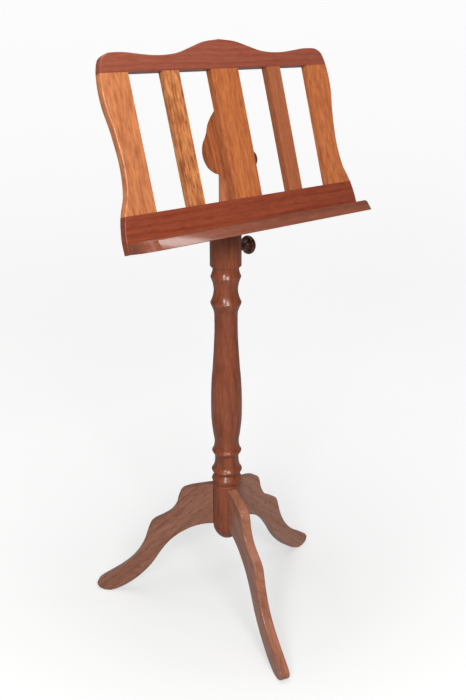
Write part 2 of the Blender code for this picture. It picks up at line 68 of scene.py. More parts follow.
# %% [markdown]
# ## Where things are
# Two places steer everything else: the column's axis, and the pivot that the desk
# tilts on. The desk is drawn upright about its pivot, where its outline is easy
# to read, and leaned back afterwards.

# %% Main places and sizes
MM = 0.001
SAME_PLACE = 1e-6               # corners nearer than this are one corner
clamp_low, clamp_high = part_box("clamp_screw")
bolt_low, bolt_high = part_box("tilt_bolt")
AXIS_X = -0.00463
AXIS_Y = (clamp_low.y + clamp_high.y) / 2
CLAMP_Z = (clamp_low.z + clamp_high.z) / 2
PIVOT_Z = (bolt_low.z + bolt_high.z) / 2
TILT = math.radians(17)
RISE = 0.065                    # the bottom rail's top edge is this far below the pivot
DESK_X = -0.0028                # the desk sits a little left of the pole
FRONT = -0.047                  # the desk's front face, from the pivot
BACK = FRONT + 0.014
print(f"column axis {AXIS_X:.4f} {AXIS_Y:.4f}, pivot height {PIVOT_Z:.4f}")

# %% [markdown]
# ## A few tools
# Every wooden part starts as a ring of corners: Blender's circle, with one vertex
# for each point of a drawn outline. Filled and extruded it is a sawn board, and
# spun about an axis it is a turned one. Curves are drawn through a few points, as
# a joiner bends a batten round pins.

# %% Selecting and starting a shape
def deselect():
    if bpy.context.mode != "OBJECT":
        bpy.ops.object.mode_set(mode="OBJECT")
    bpy.ops.object.select_all(action="DESELECT")


def pick(piece):
    """Makes one object the selected and active one."""
    deselect()
    piece.select_set(True)
    bpy.context.view_layer.objects.active = piece


def ring_of_corners(name, corners, fill):
    """A circle with a vertex for each corner, its vertices then set on them."""
    deselect()
    bpy.ops.mesh.primitive_circle_add(vertices=len(corners), radius=0.1, fill_type=fill)
    piece = bpy.context.active_object
    piece.name = piece.data.name = name
    for vertex, corner in zip(piece.data.vertices, corners):
        vertex.co = corner
    bpy.ops.object.mode_set(mode="EDIT")
    bpy.ops.mesh.select_all(action="SELECT")
    return piece


def select_edges(piece, test):
    """In edit mode, selects just the edges whose two ends pass the test."""
    bpy.ops.mesh.select_mode(type="EDGE")
    bpy.ops.mesh.select_all(action="DESELECT")
    shape = bmesh.from_edit_mesh(piece.data)
    picked = [edge for edge in shape.edges if test(edge.verts[0].co, edge.verts[1].co)]
    for edge in picked:
        edge.select_set(True)
    bmesh.update_edit_mesh(piece.data)
    return len(picked)


# %% Drawing curves
def curve(points, steps=8):
    """A smooth line through the points (Catmull-Rom)."""
    ends = [points[0]] + list(points) + [points[-1]]
    line = []
    for p0, p1, p2, p3 in zip(ends, ends[1:], ends[2:], ends[3:]):
        for step in range(steps):
            t = step / steps
            line.append(tuple(
                0.5 * (2 * b + (c - a) * t + (2 * a - 5 * b + 4 * c - d) * t * t
                       + (3 * b - a - 3 * c + d) * t ** 3)
                for a, b, c, d in zip(p0, p1, p2, p3)))
    return line + [tuple(points[-1])]


def arc(middle, radius, start, end, steps):
    turns = [math.radians(start + (end - start) * k / steps) for k in range(steps + 1)]
    return [(middle[0] + radius * math.cos(t), middle[1] + radius * math.sin(t)) for t in turns]


def metres(points):
    return [(a * MM, b * MM) for a, b in points]


# %% Finishing a piece
def apply_modifiers(piece):
    pick(piece)
    for modifier in list(piece.modifiers):
        bpy.ops.object.modifier_apply(modifier=modifier.name)


def drill(piece, middle, radius, depth, turn, sides=32):
    """Takes a round hole out of a piece."""
    deselect()
    bpy.ops.mesh.primitive_cylinder_add(vertices=sides, radius=radius, depth=depth,
                                        location=middle, rotation=turn)
    bit = bpy.context.active_object
    cut = piece.modifiers.new("drilled hole", "BOOLEAN")
    cut.operation = "DIFFERENCE"
    cut.object = bit
    apply_modifiers(piece)
    bpy.data.objects.remove(bit, do_unlink=True)


def finish_piece(piece, angle=40):
    """Outward faces, smooth shading up to an angle, and flat faces kept flat."""
    pick(piece)
    bpy.ops.object.mode_set(mode="EDIT")
    bpy.ops.mesh.select_all(action="SELECT")
    bpy.ops.mesh.remove_doubles(threshold=SAME_PLACE)
    bpy.ops.mesh.normals_make_consistent(inside=False)
    bpy.ops.object.mode_set(mode="OBJECT")
    bpy.ops.object.transform_apply(location=True, rotation=True, scale=True)
    bpy.ops.object.shade_smooth_by_angle(angle=math.radians(angle))
    level = piece.modifiers.new("flat faces stay flat", "WEIGHTED_NORMAL")
    level.keep_sharp = True
    apply_modifiers(piece)
    return piece


def stands_for(piece, body, slot, *nodes):
    """The piece replaces these nodes of the model and moves with their body."""
    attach(piece, body)
    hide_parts(*nodes)
    print(piece.name, len(piece.data.polygons), "faces")
    return piece


# %% [markdown]
# ## The turned column
# A turner cuts one blank into the whole column: a plain collar for the clamp, two
# rings with a hollow between them, a long vase, three more rings, and the hub
# that the legs join. In Blender the half outline is spun round the axis. The
# outline ends inside, in the bore that the pole slides in.

# %% Column outline
def ring(crest, height, neck, drop=9.0):
    """One turned ring: a hollow flare out to a narrow rim, then a round underside."""
    spread = crest - neck
    flare = curve([(neck + 0.12 * spread, height + 9.0), (neck + 0.45 * spread, height + 5.0),
                   (crest - 0.5, height + 1.3)], 5)
    rim = curve([(crest, height), (crest - 0.8, height - 2.6),
                 (neck + 0.34 * spread, height - drop + 2.2),
                 (neck + 0.14 * spread, height - drop)], 5)
    return flare + rim + [(neck + 0.14 * spread - 0.6, height - drop - 0.15)]


HUB = 26.5
BORE = 11.3
collar = [(BORE + 0.8, 736.0)] + arc((26.0, 734.5), 1.5, 90, 0, 5)
collar += arc((25.2, 682.6), 2.3, 0, -80, 6) + [(23.7, 679.4), (23.3, 676.0), (23.3, 673.0)]
upper_rings = ring(26.9, 662.5, 23.4, 9.0)[4:]
upper_rings += curve([(22.6, 648.5), (21.6, 643.0), (21.4, 637.0), (22.9, 628.0),
                      (25.4, 620.6)], 6)
upper_rings += curve([(27.2, 616.6), (27.4, 615.2), (26.6, 612.4), (24.9, 608.5)], 5)
vase = curve([(23.4, 605.0), (21.1, 597.0), (20.7, 586.0), (20.8, 564.0), (21.7, 541.0),
              (24.6, 495.0), (26.7, 472.0), (28.1, 440.0), (28.3, 410.0), (27.5, 388.0),
              (24.8, 364.0), (22.9, 353.0), (22.6, 345.0), (23.2, 340.0)], 8)
lower_rings = ring(27.3, 329.0, 22.0)[6:] + [(22.0, 315.0), (22.0, 311.0), (22.3, 306.0)]
lower_rings += ring(28.4, 290.0, 23.0, 8.6)[1:] + ring(28.3, 270.5, 24.4, 9.0)[7:]
print("column outline:", len(collar + upper_rings + vase + lower_rings), "points")

# %% Spin the column
def turned(name, profile, middle=(0.0, 0.0), steps=96):
    """Spins a half outline, given in metres, about an upright axis."""
    corners = [(middle[0] + radius, middle[1], height) for radius, height in profile]
    piece = ring_of_corners(name, corners, "NOTHING")
    first, last = Vector(corners[0]), Vector(corners[-1])
    select_edges(piece, lambda a, b: {a.to_tuple(6), b.to_tuple(6)}
                 == {first.to_tuple(6), last.to_tuple(6)})
    bpy.ops.mesh.delete(type="EDGE")
    bpy.ops.mesh.select_all(action="SELECT")
    bpy.ops.mesh.spin(steps=steps, angle=2 * math.pi, dupli=False,
                      center=(*middle, 0), axis=(0, 0, 1))
    bpy.ops.object.mode_set(mode="OBJECT")
    return piece


hub = [(HUB, 259.5), (HUB, 172.6)] + arc((HUB, 171.4), 1.2, 90, 270, 6)
hub += curve([(26.2, 167.5), (23.7, 159.0), (17.5, 149.5), (9.0, 143.3), (0.0, 141.6)], 6)
bore = [(0.0, 389.0), (BORE, 389.0), (BORE, 735.2)]
profile = metres(hub[::-1] + lower_rings[::-1] + vase[::-1] + upper_rings[::-1]
                 + collar[::-1] + bore[::-1])
column = turned("turned_column", profile, (AXIS_X, AXIS_Y))

# %% Pocket for the brass thread
# A wide pocket holds the threaded bush, and a narrower way lets the screw through
# to the pole. Both run out past the collar.
OUTSIDE = 0.035
for start, radius in ((0.0148, 0.0062), (0.004, 0.0046)):
    drill(column, (AXIS_X + (OUTSIDE + start) / 2, AXIS_Y, CLAMP_Z), radius,
          OUTSIDE - start, (0, math.pi / 2, 0), 48)
finish_piece(column, 32)
stands_for(column, "base", "column_wood", "column")

# %% [markdown]
# ## The legs
# Each leg is sawn from flat board with two stepped knees and a rounded toe, and
# its edges are softened with a router. One outline serves all three; each leg
# is a copy turned about the column.

# %% Leg outline
leg_top = curve([(25.3, 257.0), (48, 252.0), (70, 246.5), (86, 239.0), (92.5, 227.5),
                 (96, 213.0), (103, 199.0), (112, 188.0), (126, 178.0), (142, 168.5),
                 (151, 159.5), (156, 146.0), (163, 125.0), (174, 102.0), (190, 79.5),
                 (210, 60.0), (232, 43.5), (250, 31.0)], 7)
leg_toe = curve([(259.5, 23.5), (265, 15.0), (261, 5.5), (250, 0.0)], 7)
leg_sole = curve([(238, 0.0), (225, 5.0), (205, 17.0), (183, 34.5), (162, 56.0),
                  (146, 77.0), (132, 100.0), (118, 120.0), (103, 136.0), (86, 149.5),
                  (66, 161.5), (44, 169.5), (25.3, 172.3)], 7)
leg_outline = metres(leg_top + leg_toe + leg_sole)
print("leg outline:", len(leg_outline), "points")


# %% Sawn boards
def board(name, outline, near, far, rounding, rounded, segments=3):
    """A board cut to an (x, z) outline between two depths, with some edges rounded."""
    piece = ring_of_corners(name, [(a, near, b) for a, b in outline], "NGON")
    bpy.ops.mesh.extrude_region_move(TRANSFORM_OT_translate={"value": (0, far - near, 0)})
    bpy.ops.mesh.select_all(action="SELECT")
    bpy.ops.mesh.normals_make_consistent(inside=False)
    if select_edges(piece, lambda a, b: abs(a.y - b.y) < SAME_PLACE and rounded(a, b)):
        bpy.ops.mesh.bevel(offset=rounding, segments=segments, affect="EDGES",
                           clamp_overlap=True)
    bpy.ops.object.mode_set(mode="OBJECT")
    return piece


LEG_HALF = 0.009                # half the board's thickness
LEG_ROUND = 0.0026
HUB_EDGE = 0.0262               # the edges inside the hub stay sharp


def outside_hub(a, b):
    return max(a.x, b.x) > HUB_EDGE


LEG_YAWS = {"leg_front": -108.6, "leg_right": 9.8, "leg_left": 131.0}
legs = {}
for name, yaw in LEG_YAWS.items():
    leg = board("cabriole_" + name, leg_outline, -LEG_HALF, LEG_HALF, LEG_ROUND,
                outside_hub, 4)
    leg.rotation_euler = (0, 0, math.radians(yaw))
    leg.location = (AXIS_X, AXIS_Y, 0)
    legs[name] = stands_for(finish_piece(leg), "base", "leg_wood", name)

# %% [markdown]
# ## The desk frame
# Two rails and two stiles make the frame. Its outer edge is one flowing line that
# runs through all four, so it is drawn once and divided at the joints. The outer
# edges are rounded over and the joints stay flush and sharp.

# %% The outer line
side = curve([(250, -55.5), (249.6, -30), (243.3, 2), (231.8, 32), (227.2, 72),
              (230.4, 120), (236.4, 158), (237.2, 184), (234.9, 206.4), (231.0, 220.5)], 12)
crest = curve([(231.0, 220.5), (226.4, 228.4), (217, 233.8), (207, 235.4), (186, 235.4),
               (160, 232.6), (134, 230.2), (108, 230.4), (84, 233.6), (58, 241.4),
               (32, 249.0), (0, 252.5)], 8)


def part_of(line, low, high):
    """The stretch of a rising line between two heights."""
    def at(height):
        for (a0, b0), (a1, b1) in zip(line, line[1:]):
            if b0 <= height <= b1:
                return (a0 + (a1 - a0) * (height - b0) / (b1 - b0), height)
    return [at(low)] + [p for p in line if low + 0.3 < p[1] < high - 0.3] + [at(high)]


def mirrored(points):
    return [(-a, b) for a, b in points[::-1]]


print("outer line:", len(side), "points up the side and", len(crest), "along the crest")


# %% Frame boards
DESK_ROUND = 0.0022
RAIL_LOW = -55.5
OPENING = 206.0                 # between the rails
STILE_IN = 186.5                # a stile's straight inner edge, from the middle
OUTER_EDGE = 0.19               # a stile is rounded only outside this
JOINT = 1e-5                    # edges this near a joint line stay sharp
SCREWS = (-0.200, -0.067, 0.067, 0.200)


def lean_back(piece):
    """Takes a desk piece from its drawing, upright about the pivot, to its place."""
    piece.rotation_euler = (-TILT, 0, 0)
    piece.location = (AXIS_X, AXIS_Y, PIVOT_Z)


def desk_board(name, outline, rounded):
    drawn = [(a * MM + DESK_X, b * MM - RISE) for a, b in outline]
    return board(name, drawn, FRONT, BACK, DESK_ROUND, rounded)


def in_desk(piece, slot, node):
    """Leans a drawn piece back into the desk and lets it stand for its node."""
    lean_back(piece)
    return stands_for(finish_piece(piece), "desk", slot, node)


low_side = part_of(side, RAIL_LOW, 0)
bottom_rail = desk_board("bottom_rail", mirrored(low_side) + low_side,
                         lambda a, b: min(a.z, b.z) < -RISE - JOINT)
for screw_x in SCREWS:
    drill(bottom_rail, (screw_x + DESK_X, BACK + 0.0006, -0.0475 - RISE), 0.0038, 0.008,
          (math.pi / 2, 0, 0))
in_desk(bottom_rail, "rail_wood", "desk_bottom_rail")
head_line = part_of(side, OPENING, 220) + crest[1:]
top_rail = desk_board("crest_rail", head_line + mirrored(head_line)[1:],
                      lambda a, b: max(a.z, b.z) > OPENING * MM - RISE + JOINT)
in_desk(top_rail, "rail_wood", "desk_top_rail")
stile_side = part_of(side, 0, OPENING)
stiles = {}
for name, sign in (("stile_left", -1), ("stile_right", 1)):
    outline = [(sign * STILE_IN, 0)] + [(sign * a, b) for a, b in stile_side]
    outline += [(sign * STILE_IN, OPENING)]
    stile = desk_board(name + "_board", outline,
                       lambda a, b: min(abs(a.x - DESK_X), abs(b.x - DESK_X)) > OUTER_EDGE)
    stiles[name] = in_desk(stile, "slat_wood", name)

# %% [markdown]
# ## The slats
# Three upright slats fill the frame, the middle one wide because it carries the
# bracket. A slat is a planed stick: a box whose long edges are eased with one
# stroke of a plane, with a stub tenon at each end that the rails hide.

# %% Planed slats
PLANED = 0.0008
TENON = 0.012
SHOULDER = 0.004


def slat(name, centre, width):
    """A box with eased long edges and a stub tenon drawn out of each end."""
    deselect()
    height = OPENING * MM
    bpy.ops.mesh.primitive_cube_add(
        size=1, location=(centre + DESK_X, (FRONT + BACK) / 2, height / 2 - RISE))
    piece = bpy.context.active_object
    piece.name = piece.data.name = name
    piece.scale = (width, BACK - FRONT, height)
    bpy.ops.object.transform_apply(location=True, rotation=True, scale=True)
    bpy.ops.object.mode_set(mode="EDIT")
    select_edges(piece, lambda a, b: abs(a.z - b.z) > 0.1)
    bpy.ops.mesh.bevel(offset=PLANED, segments=2, affect="EDGES")
    for end, step in ((height - RISE, TENON), (-RISE, -TENON)):
        bpy.ops.mesh.select_mode(type="FACE")
        bpy.ops.mesh.select_all(action="DESELECT")
        shape = bmesh.from_edit_mesh(piece.data)
        for face in shape.faces:
            if abs(face.normal.z) > 0.9 and abs(face.calc_center_median().z - end) < 1e-4:
                face.select_set(True)
        bmesh.update_edit_mesh(piece.data)
        bpy.ops.mesh.inset(thickness=SHOULDER)
        bpy.ops.mesh.extrude_region_move(TRANSFORM_OT_translate={"value": (0, 0, step)})
    bpy.ops.object.mode_set(mode="OBJECT")
    return piece


slats = {}
for name, centre, width in (("slat_left", -0.107, 0.030), ("slat_centre", 0.0, 0.0565),
                            ("slat_right", 0.107, 0.030)):
    slats[name] = in_desk(slat(name + "_stick", centre, width), "slat_wood", name)

# %% [markdown]
# ## The ledge
# The shelf that music stands on is a strip glued and screwed to the front of the
# bottom rail. Seen from above its front corners are round, and its front face
# leans back a little with a soft upper edge. It is drawn from above, drawn out
# upwards, and its upper face is pulled in.

# %% Ledge
def ledge_line(reach, half, corner):
    front = FRONT - reach
    line = [(half, FRONT)] + arc((half - corner, front + corner), corner, 0, -90, 20)
    return [(a + DESK_X, b) for a, b in line + mirrored(line)]


LEDGE_LOW = RAIL_LOW * MM - RISE
LEDGE_HIGH = -0.0395 - RISE
REACH = 0.047
DROP = 0.0024                   # the underside slopes down towards the front
# The reach, the half width and the corners' radius, at the foot and at the top.
low_line = ledge_line(REACH, 0.250, 0.028)
high_line = ledge_line(0.039, 0.2492, 0.026)
ledge = ring_of_corners("music_ledge", [(a, b, LEDGE_LOW) for a, b in low_line], "NGON")
bpy.ops.mesh.extrude_region_move(
    TRANSFORM_OT_translate={"value": (0, 0, LEDGE_HIGH - LEDGE_LOW)})
shape = bmesh.from_edit_mesh(ledge.data)
for vertex in shape.verts:
    if vertex.co.z > LEDGE_HIGH - SAME_PLACE:
        spot = min(range(len(low_line)),
                   key=lambda k: math.dist(low_line[k], vertex.co.xy))
        vertex.co.xy = high_line[spot]
    else:
        vertex.co.z -= DROP * (FRONT - vertex.co.y) / REACH
bmesh.update_edit_mesh(ledge.data)
select_edges(ledge, lambda a, b: min(a.z, b.z) > LEDGE_HIGH - SAME_PLACE
             and min(a.y, b.y) < FRONT - JOINT)
bpy.ops.mesh.bevel(offset=0.0034, segments=5, affect="EDGES")
select_edges(ledge, lambda a, b: max(a.z, b.z) < LEDGE_LOW + JOINT
             and min(a.y, b.y) < FRONT - JOINT)
bpy.ops.mesh.bevel(offset=0.0012, segments=2, affect="EDGES")
bpy.ops.object.mode_set(mode="OBJECT")
in_desk(ledge, "rail_wood", "ledge")

# %% [markdown]
# ## The bracket and the pole
# Two shaped cheeks stand behind the middle slat and straddle the pole's top. They
# are sawn boards like the legs, only standing fore and aft, so their outline is
# drawn as depth and height and then turned a quarter about the upright axis.

# %% Bracket cheeks
CHEEK_FRONT = 14.0              # the cheeks start at the back of the slat
cheek_line = [(CHEEK_FRONT, 27.0)] + curve(
    [(22.5, 29.8), (31, 36.5), (40, 44.2), (50, 48.8), (61, 55.5), (70, 66.0), (74.6, 80.0),
     (73.2, 92.0), (68.4, 102.0), (60.0, 110.4), (54.2, 116.6), (50.6, 123.0),
     (45.0, 130.6), (34.0, 139.4), (22.0, 146.4)], 7) + [(CHEEK_FRONT, 150.0)]
CHEEK_IN = 0.0113
CHEEK_OUT = 0.0233
CHEEK_ROUND = 0.0018
cheeks = []
for name, sign in (("bracket_cheek_left", -1), ("bracket_cheek_right", 1)):
    near, far = sorted((-sign * CHEEK_IN, -sign * CHEEK_OUT))
    drawn = [(FRONT + a * MM, b * MM - RISE) for a, b in cheek_line]
    cheek = board(name.replace("bracket_", "shaped_"), drawn, near, far, CHEEK_ROUND,
                  lambda a, b: max(a.x, b.x) > FRONT + (CHEEK_FRONT + 0.1) * MM)
    pick(cheek)
    cheek.rotation_euler = (0, 0, math.radians(90))
    bpy.ops.object.transform_apply(location=True, rotation=True, scale=True)
    cheeks.append(in_desk(cheek, "rail_wood", name))

# %% Sliding pole
# The top end is bored for the spigot of the block that the desk tilts on.
pole_line = [(0.0, 400.0)] + arc((10.0, 401.0), 1.0, -90, 0, 4)
pole_line += arc((10.5, 841.0), 0.5, 0, 90, 3) + [(6.3, 841.5), (6.3, 814.5), (0.0, 814.5)]
pole = turned("sliding_pole", metres(pole_line), (AXIS_X, AXIS_Y), 64)
stands_for(finish_piece(pole, 32), "pole", "column_wood", "pole")

# %% [markdown]
# ## Knobs and fittings
# Both knobs are turned from a darker wood to the same pattern: a button with a
# soft crown on a waisted neck. They are spun upright like the column and then
# laid on their side. The brass and steel fittings are small and sit deep, so the
# model's own shapes do.

# %% Turned knobs
HEAD_START = 17.4               # where the waisted neck meets the head


def knob_line(extra):
    """Half a knob's outline, with its neck drawn longer by an extra length."""
    neck = curve([(8.5, 3.0), (7.5, 6.5), (7.2, 9.5), (7.9, 13.0), (10.4, HEAD_START)], 6)
    head = curve([(12.6, 18.0), (15.0, 19.2), (16.3, 21.2), (16.5, 23.4), (15.6, 26.6),
                  (12.4, 30.2), (8.0, 32.6), (3.6, 33.8), (0.0, 34.0)], 6)
    line = [(0.0, 16.0), (6.3, 16.0), (6.3, 0.0)] + arc((7.6, 1.2), 1.2, -90, 0, 5)
    line += [(a, b * (1 + extra / HEAD_START)) for a, b in neck]
    return line + [(a, b + extra) for a, b in head]


knobs = []
for name, body, start, height, extra in (
        ("clamp_knob", "clamp_handle", 0.0287, CLAMP_Z, 0.0),
        ("tilt_knob", "tilt_handle", 0.0251, PIVOT_Z, 6.0)):
    knob = turned("turned_" + name, metres(knob_line(extra)), steps=64)
    knob.rotation_euler = (0, math.pi / 2, 0)
    knob.location = (AXIS_X + start, AXIS_Y, height)
    knobs.append(stands_for(finish_piece(knob, 34), body, "knob_wood", name))

# %% [markdown]
# ## Wood, once for every piece
# The stand is one kind of hardwood in several boards: warm, with ribbons of light
# and dark along the grain, short dark pores, and faint growth rings. One node
# group draws that figure, with the grain running along the X of the vector it is
# given. Each board then has its own material, which turns the figure to its grain
# and gives it its own two tones. The pole's and the legs' tones also carry painted
# light: they are set lighter or darker to match how each of them is lit.

# %% Node helpers
def add_socket(group, name, direction, kind, value=None):
    made = group.interface.new_socket(name=name, in_out=direction, socket_type=kind)
    if value is not None:
        made.default_value = value


def add_node(tree, kind, place, settings=None, **inputs):
    """A node at a place, with its settings, and inputs that are values or sockets."""
    made = tree.nodes.new(kind)
    made.location = (place[0] * 190, place[1] * -170)
    for setting, value in (settings or {}).items():
        setattr(made, setting, value)
    for name, value in inputs.items():
        entry = made.inputs[int(name[1:])] if name[1:].isdigit() else \
            made.inputs[name.replace("_", " ")]
        if isinstance(value, bpy.types.NodeSocket):
            tree.links.new(value, entry)
        else:
            entry.default_value = value
    return made


def math_node(tree, place, operation, a, b, c=0.5, clamp=False):
    return add_node(tree, "ShaderNodeMath", place, {"operation": operation, "use_clamp": clamp},
                    i0=a, i1=b, i2=c).outputs[0]


def vector_node(tree, place, operation, a, b):
    return add_node(tree, "ShaderNodeVectorMath", place, {"operation": operation},
                    i0=a, i1=b).outputs[0]


def distance_node(tree, place, vector):
    return add_node(tree, "ShaderNodeVectorMath", place, {"operation": "LENGTH"},
                    i0=vector).outputs["Value"]


def noise(tree, place, vector, detail=2.0, roughness=0.5):
    return add_node(tree, "ShaderNodeTexNoise", place, Vector=vector, Scale=1.0,
                    Detail=detail, Roughness=roughness)


def blend_colours(tree, place, factor, a, b):
    made = add_node(tree, "ShaderNodeMix", place, {"data_type": "RGBA"})
    for entry, value in ((made.inputs[0], factor), (made.inputs[6], a), (made.inputs[7], b)):
        if isinstance(value, bpy.types.NodeSocket):
            tree.links.new(value, entry)
        else:
            entry.default_value = value
    return made.outputs[2]


# %% The wood figure
figure = bpy.data.node_groups.new("Wood figure", "ShaderNodeTree")
add_socket(figure, "Vector", "INPUT", "NodeSocketVector")
add_socket(figure, "Light wood", "INPUT", "NodeSocketColor", (0.5, 0.2, 0.08, 1))
add_socket(figure, "Dark wood", "INPUT", "NodeSocketColor", (0.3, 0.1, 0.04, 1))
add_socket(figure, "Pore colour", "INPUT", "NodeSocketColor", (0.05, 0.02, 0.01, 1))
add_socket(figure, "Ribbon", "INPUT", "NodeSocketFloat", 0.5)
add_socket(figure, "Pores", "INPUT", "NodeSocketFloat", 0.5)
add_socket(figure, "Rings", "INPUT", "NodeSocketFloat", 0.3)
for name, kind in (("Color", "NodeSocketColor"), ("Roughness", "NodeSocketFloat"),
                   ("Height", "NodeSocketFloat")):
    add_socket(figure, name, "OUTPUT", kind)

given = add_node(figure, "NodeGroupInput", (-1, 0)).outputs
drift = vector_node(figure, (-1, 2), "MULTIPLY", given["Vector"], (5, 9, 9))
drift = noise(figure, (0, 0), drift, 1.0)
drift = vector_node(figure, (1, 0), "SUBTRACT", drift.outputs["Color"], (0.5, 0.5, 0.5))
drift = vector_node(figure, (2, 0), "MULTIPLY", drift, (0, 0.012, 0.012))
grain = vector_node(figure, (3, 0), "ADD", given["Vector"], drift)


def streaks(place, stretch, detail=2.0, roughness=0.5):
    stretched = vector_node(figure, place, "MULTIPLY", grain, stretch)
    return noise(figure, (place[0] + 1, place[1]), stretched, detail, roughness).outputs["Fac"]


fibre = streaks((4, 0), (7, 330, 330), 4.0, 0.7)
band = streaks((4, 1), (1.4, 46, 46), 2.0)
ribbon = streaks((4, 2), (46, 190, 190), 3.0)
short_pore = streaks((4, 3), (75, 1050, 1050), 1.5)
long_pore = streaks((4, 4), (28, 520, 520), 2.0)
fine_pore = streaks((4, 5), (150, 2600, 2600), 1.0)

rings = vector_node(figure, (4, 6), "MULTIPLY", grain, (0.10, 1.0, 1.0))
rings = vector_node(figure, (5, 6), "ADD", rings, (0, 0.012, 0.085))
rings = distance_node(figure, (6, 6), rings)
rings = math_node(figure, (7, 6), "MULTIPLY", rings, 190.0)
rings = math_node(figure, (8, 6), "ADD", rings, math_node(figure, (7, 7), "MULTIPLY", band, 2.2))
rings = math_node(figure, (9, 6), "PINGPONG", rings, 1.0)
rings = math_node(figure, (10, 6), "POWER", rings, 3.0)

tone = math_node(figure, (6, 1), "MULTIPLY", fibre, 1.1)
centred_band = math_node(figure, (6, 2), "SUBTRACT", band, 0.5)
centred_ribbon = math_node(figure, (6, 3), "SUBTRACT", ribbon, 0.5)
band_part = math_node(figure, (7, 2), "MULTIPLY", centred_band, 1.1)
tone = math_node(figure, (7, 1), "ADD", tone, band_part)
ribbon_part = math_node(figure, (7, 3), "MULTIPLY", centred_ribbon, given["Ribbon"])
ribbon_part = math_node(figure, (8, 3), "MULTIPLY", ribbon_part, 2.6)
tone = math_node(figure, (8, 1), "ADD", tone, ribbon_part)
tone = math_node(figure, (9, 1), "SUBTRACT", tone,
                 math_node(figure, (11, 6), "MULTIPLY", rings, given["Rings"]), clamp=True)
wood_colour = blend_colours(figure, (11, 1), tone, given["Dark wood"], given["Light wood"])


def threshold(place, value, low, high):
    return add_node(figure, "ShaderNodeMapRange", place, {"clamp": True}, Value=value,
                    From_Min=low, From_Max=high).outputs[0]


pores = math_node(figure, (8, 4), "MAXIMUM", threshold((7, 4), short_pore, 0.60, 0.72),
                  threshold((7, 5), long_pore, 0.66, 0.76))
pores = math_node(figure, (9, 4), "MULTIPLY", pores, given["Pores"], clamp=True)
out_colour = blend_colours(figure, (12, 2), pores, wood_colour, given["Pore colour"])
rough = math_node(figure, (12, 4), "MULTIPLY_ADD", pores, 0.22, 0.34)
rough = math_node(figure, (13, 4), "MULTIPLY_ADD", fibre, 0.10, rough)
height = math_node(figure, (12, 6), "SUBTRACT", math_node(figure, (11, 5), "MULTIPLY", fibre, 0.30),
                   math_node(figure, (11, 7), "MULTIPLY", pores, 0.8))
height = math_node(figure, (13, 6), "SUBTRACT", height,
                   threshold((12, 7), fine_pore, 0.62, 0.76))
add_node(figure, "NodeGroupOutput", (15, 2), Color=out_colour, Roughness=rough, Height=height)
print("wood figure:", len(figure.nodes), "nodes")


# %% One material for each board
def linear(red, green, blue):
    """A colour picked on a 0 to 255 scale, as the shader wants it."""
    def one(value):
        value /= 255
        return value / 12.92 if value <= 0.04045 else ((value + 0.055) / 1.055) ** 2.4
    return (one(red), one(green), one(blue), 1.0)


def wood(name, grain_way, face_way, light, dark, ribbon=0.5, pores=0.5, rings=0.3,
         seed=(0, 0, 0), coat=0.50, coat_rough=0.19):
    """Wood whose grain runs one way and whose broad face looks another."""
    way = Vector(grain_way).normalized()
    across = Vector(face_way).cross(way).normalized()
    turn = Matrix((way, across, way.cross(across))).to_euler("XYZ")
    made = bpy.data.materials.new(name)
    made.use_nodes = True
    tree = made.node_tree
    shader = tree.nodes["Principled BSDF"]
    where = add_node(tree, "ShaderNodeTexCoord", (-5, 0)).outputs["Object"]
    mapped = add_node(tree, "ShaderNodeMapping", (-4, 0), Vector=where,
                      Rotation=turn, Location=seed).outputs[0]
    drawn = add_node(tree, "ShaderNodeGroup", (-3, 0), {"node_tree": figure}, Vector=mapped,
                     Light_wood=light, Dark_wood=dark, Ribbon=ribbon, Pores=pores,
                     Rings=rings)
    drawn.inputs["Pore colour"].default_value = [0.28 * c for c in dark[:3]] + [1.0]
    bump = add_node(tree, "ShaderNodeBump", (-1, 2), Height=drawn.outputs["Height"],
                    Strength=0.35, Distance=0.0003)
    tree.links.new(drawn.outputs["Color"], shader.inputs["Base Color"])
    tree.links.new(drawn.outputs["Roughness"], shader.inputs["Roughness"])
    tree.links.new(bump.outputs["Normal"], shader.inputs["Normal"])
    shader.inputs["Coat Weight"].default_value = coat
    shader.inputs["Coat Roughness"].default_value = coat_rough
    shader.inputs["Specular IOR Level"].default_value = 0.15
    shader.inputs["IOR"].default_value = 1.5
    return made


def dress(piece, material):
    """Gives a piece one material in place of any it had."""
    piece.data.materials.clear()
    piece.data.materials.append(material)


UP = (0, 0, 1)
SLOPE = (0, math.sin(TILT), math.cos(TILT))
FACE = (0, -math.cos(TILT), math.sin(TILT))
ACROSS = (1, 0, 0)

# %% Column, pole and legs
dress(column, wood("column wood", UP, (1, 0.3, 0), linear(150, 80, 50), linear(107, 49, 27),
                   ribbon=0.35, pores=0.45, rings=0.35, seed=(0.2, 0.01, 0.0)))
# Painted light: the pole's wood is an orange like the slats', set much lighter here to make up for
# the shade the desk casts on it.
dress(pole, wood("pole wood", UP, (1, 0, 0), linear(240, 150, 104), linear(190, 104, 64),
                 ribbon=0.3, pores=0.4, rings=0.2, seed=(0.9, 0.1, 0.03)))
# Painted light and painted reflection: each leg's tones are its own wood colour, set lighter or
# darker to match how brightly that leg is lit, and greyed for the pale surroundings its faces
# mirror.
LEG_TONES_WITH_PAINTED_LIGHT = {"leg_front": ((172, 112, 84), (132, 80, 60)),
             "leg_right": ((176, 122, 98), (136, 87, 69)),
             "leg_left": ((152, 102, 80), (116, 71, 56))}
for name, yaw in LEG_YAWS.items():
    turn = math.radians(yaw)
    outward = Vector((math.cos(turn), math.sin(turn), 0))
    run = outward * 0.76 - Vector(UP) * 0.65
    side_way = Vector(UP).cross(outward)
    light, dark = LEG_TONES_WITH_PAINTED_LIGHT[name]
    dress(legs[name], wood(name + " wood", run, side_way, linear(*light), linear(*dark),
                           ribbon=0.35, pores=0.9, rings=0.3, seed=(yaw * 0.01, 0.02, 0.0)))

